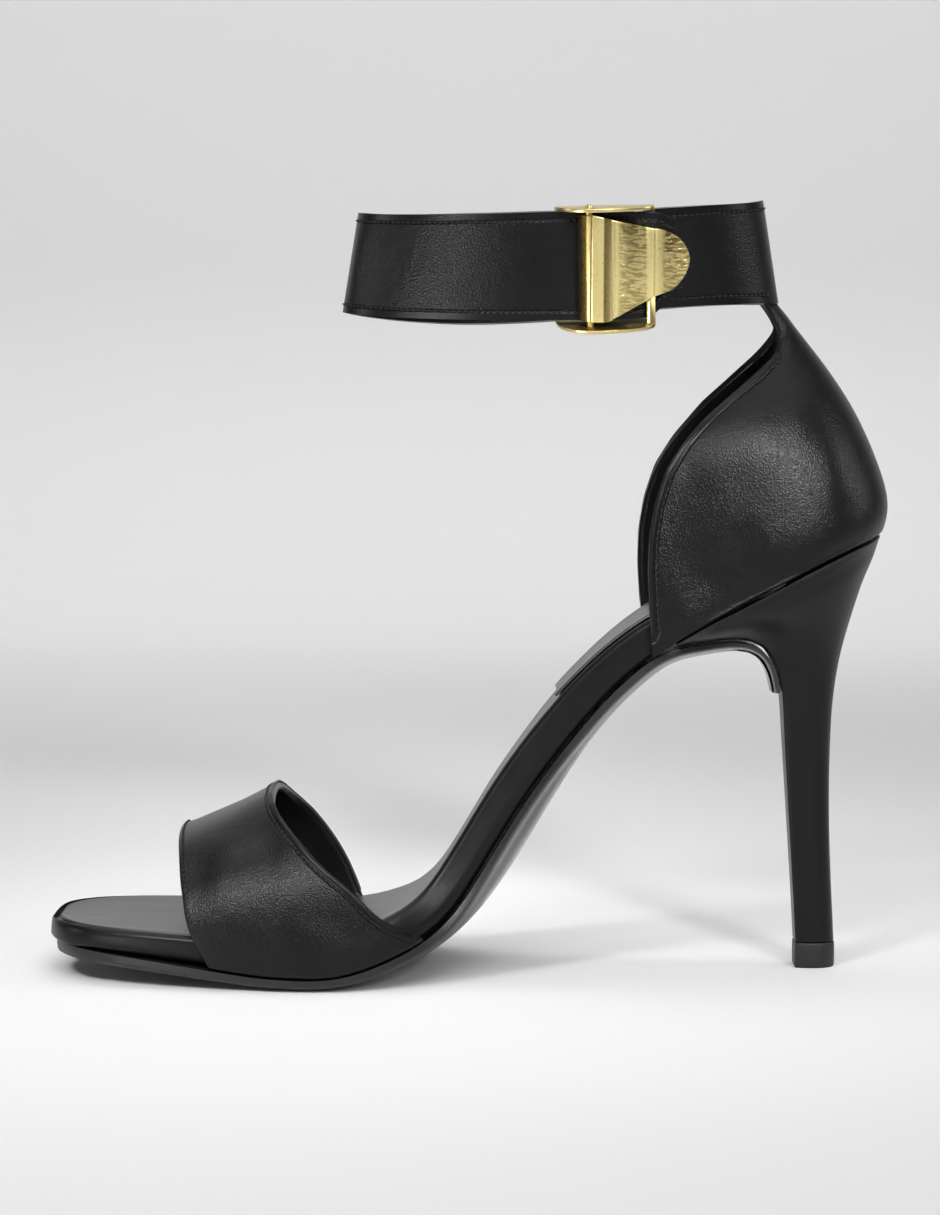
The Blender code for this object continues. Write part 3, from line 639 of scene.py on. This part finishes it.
def ankle_edge(tree, top):
    """The ankle strap's top or bottom edge on its outer face, in runs broken by the neck."""
    runs = [[]]
    for step in range(ANKLE_RAYS + 1):
        angle = math.radians(360 * step / ANKLE_RAYS)
        out = Vector((math.sin(angle), -math.cos(angle), 0))

        def ray(z):
            return Vector((ANKLE_AXIS_X, 0, z)) + out * ANKLE_REACH, -out

        miss = ANKLE_TOP_MISS if top else ANKLE_LOW_MISS
        origin, direction = ray(miss)
        if tree.ray_cast(origin, direction, ANKLE_RAY_LENGTH)[0] is None:
            runs[-1].append(edge_point(tree, ray, ANKLE_RAY_LENGTH, miss, ANKLE_MIDDLE))
        elif runs[-1]:
            runs.append([])
    long_runs = [run for run in runs if len(run) > SHORTEST_RUN]
    return [relaxed(evened(run, TRIM_STEP), EDGE_RELAXING) for run in long_runs]


def counter_edge(tree, side):
    """The counter's front edge on its outer face, from the sole up to the neck."""
    points = []
    for step in range(COUNTER_RAYS + 1):
        z = COUNTER_LOW + (COUNTER_TOP - COUNTER_LOW) * step / COUNTER_RAYS

        def ray(x):
            return Vector((x, side * COUNTER_REACH, z)), Vector((0, -side, 0))

        inside = COUNTER_INSIDE + max(z - COUNTER_LEANS_FROM, 0.0) * COUNTER_LEAN
        points.append(edge_point(tree, ray, COUNTER_REACH, COUNTER_MISS, inside))
    return relaxed(evened(points, TRIM_STEP), EDGE_RELAXING)


def mark_trim(obj, edges):
    """Gives each vertex its distance from the nearest trimmed edge."""
    points = [point for edge in edges for point in edge]
    tree = KDTree(len(points))
    for i, point in enumerate(points):
        tree.insert(point, i)
    tree.balance()
    trim = obj.data.attributes.new("trim", "FLOAT", "POINT")
    for i, vert in enumerate(obj.data.vertices):
        trim.data[i].value = min(tree.find(vert.co)[2], TRIM_REACH)


def along_line(line, run):
    """The place and the normal a given run along a line of even steps."""
    low = min(int(run / TRIM_STEP), len(line) - 2)
    share = run / TRIM_STEP - low
    return line[low][0].lerp(line[low + 1][0], share), line[low][1]


def photo_ray(column, row):
    """The direction in which the photograph's camera sees a column and a row."""
    across = (column - PHOTO_WIDTH / 2) / LENS_PIXELS
    up = (PHOTO_LONG_SIDE / 2 - row) / LENS_PIXELS
    turn = Matrix.Rotation(math.radians(90) - CAMERA_PITCH, 3, "X")
    return (turn @ Vector((across, up, -1))).normalized()


def seen_at(tree, column, row):
    """The place on a piece that the photograph shows at a column and a row."""
    return tree.ray_cast(CAMERA_PLACE, photo_ray(column, row))[0]


def shape_leather(obj, tree, folds):
    """Soft troughs and ridges, each along a line of photo places: its half width and rise."""
    vertices = obj.data.vertices
    moves = {}
    for half, rise, *marks in folds:
        places = [seen_at(tree, *mark) for mark in marks]
        assert all(places)
        line = evened(relaxed(evened(places, FOLD_STEP), FOLD_RELAXING), FOLD_STEP)
        near = KDTree(len(line))
        for i, point in enumerate(line):
            near.insert(point, i)
        near.balance()
        reach = half * 2
        for vert in vertices:
            _, index, distance = near.find(vert.co)
            if distance < reach:
                far = distance / reach
                run_out = max(len(line) * FOLD_END_SHARE, 1)
                ends = min(min(index, len(line) - 1 - index) / run_out, 1.0)
                share = (1 - far) ** 2 * (1 + 2 * far) * ends**FOLD_END_POWER
                move = moves.setdefault(vert.index, Vector())
                move += vert.normal * (rise * share)
    for index, move in moves.items():
        vertices[index].co += move


def share_between(value, start, stop):
    """0 up to start, 1 from stop on, soft between them."""
    share = min(max((value - start) / (stop - start), 0.0), 1.0)
    return (3 - 2 * share) * share**2


def strap_end_top(column):
    """The photo row of the strap end's top edge."""
    return END_TOP + max(column - END_SLANTS_FROM, 0) * END_SLANT


def strap_end_place(column, row):
    """A place on the strap's end: on the strap beneath, but lifted to clear the bar."""
    lift = share_between(column, END_LEFT, END_RISEN)
    lift *= 1 - END_FALL * share_between(column, END_FALLS, END_FALLEN)
    strap = STRAP_DEPTH + STRAP_DEPTH_PER_ROW * (row - STRAP_DEPTH_ROW)
    strap += STRAP_DEPTH_PER_COLUMN * (column - STRAP_DEPTH_COLUMN)
    depth = strap - END_CLEARANCE - END_LIFT * lift
    ray = photo_ray(column, row)
    return CAMERA_PLACE + ray * ((depth - CAMERA_PLACE.y) / ray.y)


def make_strap_end(material):
    """The outer strap's end, which lies over the buckle's bar and under its lever."""
    bm = bmesh.new()
    grid = []
    for i in range(END_COLUMNS):
        column = END_LEFT + END_COLUMN_STEP * i
        top = strap_end_top(column)
        rows = [top, *(top + END_FIRST_ROW + END_ROW_STEP * j for j in range(END_ROWS))]
        grid.append([bm.verts.new(strap_end_place(column, row)) for row in rows])
    for low, high in zip(grid, grid[1:]):
        for i in range(len(low) - 1):
            bm.faces.new((low[i], high[i], high[i + 1], low[i + 1]))
    bmesh.ops.recalc_face_normals(bm, faces=bm.faces)
    edge = [line[0].co.copy() for line in grid]
    obj = add_object("strap_end", bm, material)
    skin = obj.modifiers.new("thickness", "SOLIDIFY")
    skin.thickness = END_THICKNESS
    skin.offset = 0
    smoothed(obj, 2)
    mark_trim(obj, (evened(edge, TRIM_STEP),))
    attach(obj, "root")
    return obj


def strap_end_seam():
    """The line of the strap end's stitches, below its top edge."""
    columns = [END_SEAM_LEFT + END_SEAM_COLUMN_STEP * i for i in range(END_SEAM_COLUMNS)]
    places = [strap_end_place(c, strap_end_top(c) + END_SEAM_ROWS) for c in columns]
    rise = END_FACES * END_SEAM_RISE
    return [(place + rise, END_FACES) for place in evened(places, TRIM_STEP)]


def crown_lever(obj):
    """Bulges the lever's plate behind its hinge, from its top edge to its bottom edge."""
    heights = [vert.co.z for vert in obj.data.vertices]
    middle = (min(heights) + max(heights)) / 2
    half = (max(heights) - min(heights)) / 2
    for vert in obj.data.vertices:
        share = min(max((vert.co.x - LEVER_CROWN_FROM) / LEVER_CROWN_RISE, 0.0), 1.0)
        vert.co.y -= LEVER_CROWN * share * (1 - ((vert.co.z - middle) / half) ** 2)


def add_stitch(bm, start, stop, normal):
    """One stitch: a thread that dips into the leather at both ends."""
    along = (stop - start).normalized()
    across = normal.cross(along).normalized()
    up = along.cross(across)
    middle = (start + stop) / 2
    place = Matrix((along, across, up)).transposed().to_4x4()
    place.translation = middle + normal * STITCH_RISE
    made = bmesh.ops.create_uvsphere(bm, u_segments=6, v_segments=6, radius=1.0)["verts"]
    lay = Matrix.Rotation(math.radians(90), 4, "Y")
    size = Matrix.Diagonal(((stop - start).length / 2, STITCH_RADIUS, STITCH_RADIUS, 1))
    bmesh.ops.transform(bm, matrix=place @ size @ lay, verts=made)


def sew(name, lines, pitch, material):
    """Rows of stitches along lines of places and normals."""
    stitch = pitch * STITCH_SHARE
    bm = bmesh.new()
    for line in lines:
        length = (len(line) - 1) * TRIM_STEP
        for i in range(int(length / pitch)):
            start, normal = along_line(line, (i + 0.5) * pitch)
            stop, _ = along_line(line, (i + 0.5) * pitch + stitch)
            add_stitch(bm, start, stop, normal)
    obj = add_object(name, bm, material)
    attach(obj, "root")
    return obj


def make_binding(name, lines, material):
    """A low rounded roll of folded leather along an edge."""
    bm = bmesh.new()
    for line in lines:
        profile = []
        for step in range(BINDING_SIDES + 1):
            angle = math.radians(BINDING_FROM + BINDING_SWEEP * step / BINDING_SIDES)
            profile.append((math.cos(angle) * BINDING_HALF, math.sin(angle) * BINDING_RISE))
        rows = []
        places = line[::BINDING_STRIDE]
        for i, (point, normal) in enumerate(places):
            before = places[max(i - 1, 0)][0]
            after = places[min(i + 1, len(places) - 1)][0]
            along = (after - before).normalized()
            across = along.cross(normal).normalized()
            rows.append([bm.verts.new(point + across * a + normal * b) for a, b in profile])
        for low, high in zip(rows, rows[1:]):
            for i in range(len(profile) - 1):
                bm.faces.new((low[i], low[i + 1], high[i + 1], high[i]))
    obj = smoothed(add_object(name, bm, material), 1)
    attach(obj, "root")
    return obj


# The studio


def make_backdrop():
    """A pale floor that sweeps up into a pale wall."""
    finish = Finish("backdrop_paper", (0.76, 0.76, 0.765), Roughness=0.9, Specular_IOR_Level=0.1)
    clouds = finish.noise(finish.place(), 0.8, 1.0)
    finish.set("Base Color", finish.blend(clouds, (0.75, 0.75, 0.755), (0.77, 0.77, 0.775)))
    bm = bmesh.new()
    first = [bm.verts.new((side * FLOOR_HALF, FLOOR_FRONT, 0)) for side in (-1, 1)]
    edge = bm.edges.new(first)
    steps = [(FLOOR_BACK, 0.0)]
    for step in range(1, SWEEP_STEPS + 1):
        angle = math.radians(90 * step / SWEEP_STEPS)
        out, up = math.sin(angle), 1 - math.cos(angle)
        steps.append((FLOOR_BACK + SWEEP_RADIUS * out, SWEEP_RADIUS * up))
    steps.append((FLOOR_BACK + SWEEP_RADIUS, WALL_HEIGHT))
    for y, z in steps:
        made = bmesh.ops.extrude_edge_only(bm, edges=[edge])["geom"]
        for item in made:
            if isinstance(item, bmesh.types.BMVert):
                item.co.y = y
                item.co.z = z
        edge = next(item for item in made if isinstance(item, bmesh.types.BMEdge))
    bmesh.ops.recalc_face_normals(bm, faces=bm.faces)
    backdrop = add_object("backdrop", bm, finish.material)


def add_softbox(name, place, aim, size, power, spread=180):
    """A rectangular light of a given size in metres and power in watts, aimed at a place."""
    data = bpy.data.lights.new(name, "AREA")
    data.spread = math.radians(spread)
    data.shape = "RECTANGLE"
    data.size, data.size_y = size
    data.energy = power
    light = bpy.data.objects.new(name, data)
    light.location = place
    light.rotation_euler = (Vector(aim) - Vector(place)).to_track_quat("-Z", "Y").to_euler()
    bpy.context.scene.collection.objects.link(light)


def light_studio():
    """Broad boxes for the floor and the wall, small ones for the leather's highlights."""
    world = bpy.data.worlds.new("studio")
    world.use_nodes = True
    background = world.node_tree.nodes["Background"]
    background.inputs["Color"].default_value = (0.9, 0.92, 0.95, 1)
    background.inputs["Strength"].default_value = 0.03
    bpy.context.scene.world = world
    add_softbox("top_box", (0.05, -0.12, 1.70), (0.05, -0.05, 0.0), (2.2, 1.9), 14.8)
    add_softbox("wall_box", (0.0, 0.20, 1.20), (0.0, 1.15, 0.35), (1.6, 0.4), 2.2, 60)
    add_softbox("front_box", (0.10, -1.10, 0.90), (0.10, -0.40, 0.0), (0.8, 0.3), 2.25, 80)
    add_softbox("back_box", (0.0, 0.45, 1.50), (0.0, 0.50, 0.0), (1.6, 0.6), 2.2, 110)
    add_softbox("left_box", (-0.40, -0.68, 0.74), (-0.02, -0.03, 0.035), (0.28, 0.24), 0.125, 20)
    add_softbox("right_box", (0.36, -0.84, 0.44), (0.11, -0.03, 0.12), (0.20, 0.18), 0.10, 16)
    add_softbox("low_card", (-0.32, -0.35, 0.05), (0.04, -0.02, 0.17), (0.18, 0.10), 0.105, 60)
    add_softbox("rim_box", (0.80, -0.06, 0.36), (0.12, -0.01, 0.12), (0.22, 0.50), 0.12, 40)
    add_softbox("left_rim_box", (-0.75, -0.02, 0.32), (0.02, -0.01, 0.16), (0.20, 0.40), 0.05, 36)
    bpy.context.scene.view_settings.view_transform = "Standard"


def make_camera():
    """The camera at the photograph's angle and distance."""
    data = bpy.data.cameras.new("photo_camera")
    data.sensor_fit = "AUTO"
    data.sensor_width = SENSOR
    data.lens = LENS_PIXELS * SENSOR / PHOTO_LONG_SIDE
    camera = bpy.data.objects.new("photo_camera", data)
    camera.location = CAMERA_PLACE
    camera.rotation_euler = (math.radians(90) - CAMERA_PITCH, 0, 0)
    bpy.context.scene.collection.objects.link(camera)
    bpy.context.scene.camera = camera


# Folds in the leather: half width, rise and the photo places that they run through
SEAM_OVER_HEEL = ((0.0011, -0.00045, (690, 628), (740, 602), (790, 576), (840, 550), (866, 535)),)
SEAM_ON_HEEL = ((0.0011, -0.00040, (712, 630), (740, 614), (790, 588), (840, 562), (864, 549)),)
COUNTER_FOLDS = (
    (0.0042, 0.00038, (831, 425), (837, 462), (835, 505)),
    (0.0060, -0.00035, (672, 480), (682, 540), (700, 600)),
    (0.0080, 0.00060, (684, 458), (732, 437), (780, 430)),
    (0.0075, -0.00075, (680, 590), (722, 574), (770, 548)),
    (0.0035, -0.00030, (705, 615), (760, 588), (810, 548)),
    (0.0040, 0.00030, (720, 580), (770, 552), (805, 528)),
)
ANKLE_FOLDS = (
    (0.0045, -0.00026, (378, 225), (374, 262), (368, 300)),
    (0.0030, 0.00020, (360, 228), (356, 262), (353, 296)),
    (0.0013, -0.00016, (402, 226), (392, 246), (386, 264)),
    (0.0012, -0.00014, (414, 228), (405, 250), (398, 272)),
    (0.0012, -0.00012, (428, 232), (420, 252), (416, 270)),
    (0.0030, -0.00025, (548, 225), (552, 262), (548, 300)),
)
TOE_FOLDS = (
    (0.0050, -0.00060, (258, 800), (266, 840), (286, 880)),
    (0.0060, 0.00045, (238, 830), (222, 885), (208, 930)),
    (0.0030, -0.00030, (205, 850), (199, 890), (199, 925)),
    (0.0040, -0.00030, (300, 900), (335, 925), (375, 942)),
)


def dress_uppers(leather, strap, upper):
    """The toe strap and the counter with its ankle strap, with their creases."""
    toe_strap = dress(
        "toe_strap", "toe_strap_leather", leather, width=EDGE_ROUND, levels=2
    )
    mark_trim(toe_strap, (strap["rear"],))
    shape_leather(toe_strap, strap["tree"], TOE_FOLDS)
    counter = dress(
        "heel_and_ankle",
        "counter_and_ankle_strap",
        leather,
        width=EDGE_ROUND,
        levels=2,
        shortest=0.0016,
        seam=(surface_tree("heel"), 0.0008, 0.0010),
    )
    mark_trim(counter, (*upper["top"], *upper["low"], upper["near"], upper["far"]))
    shape_leather(counter, upper["tree"], COUNTER_FOLDS + ANKLE_FOLDS + SEAM_OVER_HEEL)


def dress_sole(wrapped, upper_tree):
    """The footbed with its linings, the outsole, the heel and its tip."""
    insole = insole_leather()
    dress(
        "footbed", "footbed_wrap", wrapped, width=0.0004, levels=1, limit=50
    )
    dress("insole_sock", "sock_lining", insole, width=0.00015, levels=1)
    dress("heel_pad", "heel_pad_lining", insole, width=0.00015, levels=1)
    dress("outsole", "glossy_outsole", sole_gloss(), width=0.0004, levels=2)
    heel = dress(
        "heel",
        "heel_wrap",
        wrapped,
        width=0.0005,
        levels=2,
        seam=(upper_tree, 0.0008, 0.0007),
    )
    shape_leather(heel, surface_tree("heel"), SEAM_ON_HEEL)
    dress("heel_tip", "heel_tip_piece", tip_rubber(), width=0.0001, levels=1)


def dress_buckle():
    """The buckle's frame, pin and lever in gold."""
    plated = gold("gold_plate", False)
    pressed = gold("pressed_gold", True)
    dress(
        "buckle_frame",
        "buckle_frame_plate",
        plated,
        width=0.00015,
        levels=0,
        shortest=0.0003,
    )
    dress("buckle_pin", "buckle_hinge_pin", plated, width=0.0002, levels=0)
    lever = dress(
        "buckle_lever",
        "buckle_lever_plate",
        pressed,
        width=0.0002,
        levels=1,
        shortest=0.0003,
    )
    crown_lever(lever)


def sew_seams(wrapped, strap, upper):
    """The stitch rows and the rolled bindings along the trimmed edges."""
    stitching = thread()

    def backward(_):
        return Vector((1, 0, 0))

    def forward(_):
        return Vector((-1, 0, 0))

    def downward(_):
        return Vector((0, 0, -1))

    def upward(_):
        return Vector((0, 0, 1))

    rows = [
        inset_line(strap["tree"], strap["front"], backward, FRONT_STITCH_INSET),
        inset_line(strap["tree"], strap["rear"], forward, STITCH_INSET),
    ]
    sew("toe_strap_stitches", rows, TOE_STITCH, stitching)
    tree = upper["tree"]
    rows = [
        *(inset_line(tree, run, downward, STITCH_INSET) for run in upper["top"]),
        *(inset_line(tree, run, upward, STITCH_INSET) for run in upper["low"]),
        strap_end_seam(),
    ]
    sew("ankle_strap_stitches", rows, ANKLE_STITCH, stitching)
    sides = (upper["near"], upper["far"])
    rows = [inset_line(tree, edge, backward, STITCH_INSET) for edge in sides]
    sew("counter_stitches", rows, COUNTER_STITCH, stitching)
    rows = [inset_line(tree, edge, backward, BINDING_INSET) for edge in sides]
    make_binding("counter_binding", rows, wrapped)
    rows = [inset_line(strap["tree"], strap["rear"], forward, BINDING_INSET)]
    make_binding("toe_strap_binding", rows, wrapped)


def main():
    make_camera()
    make_backdrop()
    light_studio()

    leather = upper_leather()
    wrapped = wrapped_leather()

    strap_tree = surface_tree("toe_strap")
    strap = {
        "tree": strap_tree,
        "front": toe_strap_edge(strap_tree, rear=False),
        "rear": toe_strap_edge(strap_tree, rear=True),
    }
    upper_tree = surface_tree("heel_and_ankle")
    upper = {
        "tree": upper_tree,
        "top": ankle_edge(upper_tree, top=True),
        "low": ankle_edge(upper_tree, top=False),
        "near": counter_edge(upper_tree, -1),
        "far": counter_edge(upper_tree, 1),
    }

    dress_uppers(leather, strap, upper)
    dress_sole(wrapped, upper_tree)
    dress_buckle()
    make_strap_end(leather)
    sew_seams(wrapped, strap, upper)


main()
